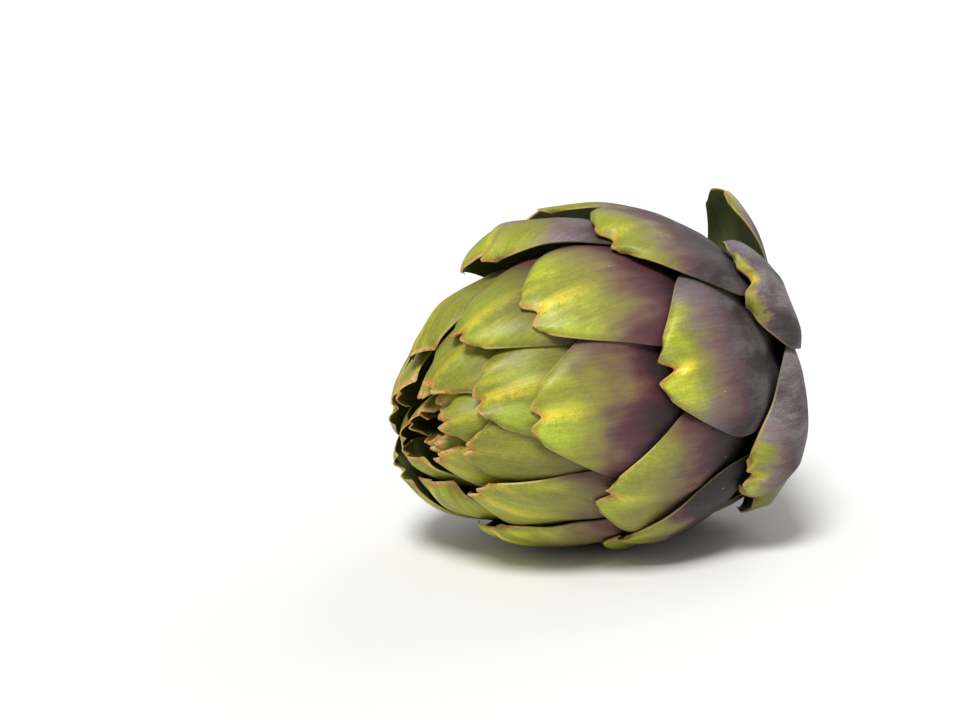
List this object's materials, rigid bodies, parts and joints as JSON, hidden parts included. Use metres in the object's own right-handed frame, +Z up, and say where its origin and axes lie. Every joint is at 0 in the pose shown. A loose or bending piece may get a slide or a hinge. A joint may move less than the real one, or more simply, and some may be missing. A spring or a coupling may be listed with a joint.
{
  "type": "globe artichoke",
  "caption": "Globe artichoke lying on its side: overlapping pointed bracts in a spiral round a fleshy heart with a short cut stem.",
  "frame": {"origin": "middle of the bounding box in plan, on the surface that the head rests on", "axes": "+X from the head's tip towards its cut stem, +Z up, -Y the side seen from the front"},
  "size_m": [0.1302, 0.1016, 0.097],
  "materials": {
    "outer_bract": "waxy satin plant skin, purple-brown to olive green",
    "inner_bract": "waxy satin plant skin, olive to yellow green with dry tan tips",
    "heart": "matt pale green plant flesh, fibrous where the stem is cut"
  },
  "bodies": {
    "root": {"bract_01": "outer_bract", "bract_02": "outer_bract", "bract_03": "outer_bract", "bract_04": "outer_bract", "bract_05": "outer_bract", "bract_06": "outer_bract", "bract_07": "outer_bract", "bract_08": "outer_bract", "bract_09": "outer_bract", "bract_10": "outer_bract", "bract_11": "outer_bract", "bract_12": "outer_bract", "bract_13": "outer_bract", "bract_14": "outer_bract", "bract_15": "outer_bract", "bract_16": "outer_bract", "bract_17": "outer_bract", "bract_18": "outer_bract", "bract_19": "outer_bract", "bract_20": "outer_bract", "bract_21": "inner_bract", "bract_22": "inner_bract", "bract_23": "inner_bract", "bract_24": "inner_bract", "bract_25": "inner_bract", "bract_26": "inner_bract", "bract_27": "inner_bract", "bract_28": "inner_bract", "bract_29": "inner_bract", "bract_30": "inner_bract", "bract_31": "inner_bract", "bract_32": "inner_bract", "bract_33": "inner_bract", "bract_34": "inner_bract", "bract_35": "inner_bract", "bract_36": "inner_bract", "bract_37": "inner_bract", "bract_38": "inner_bract", "bract_39": "inner_bract", "bract_40": "inner_bract", "heart": "heart"}
  },
  "joints": []
}
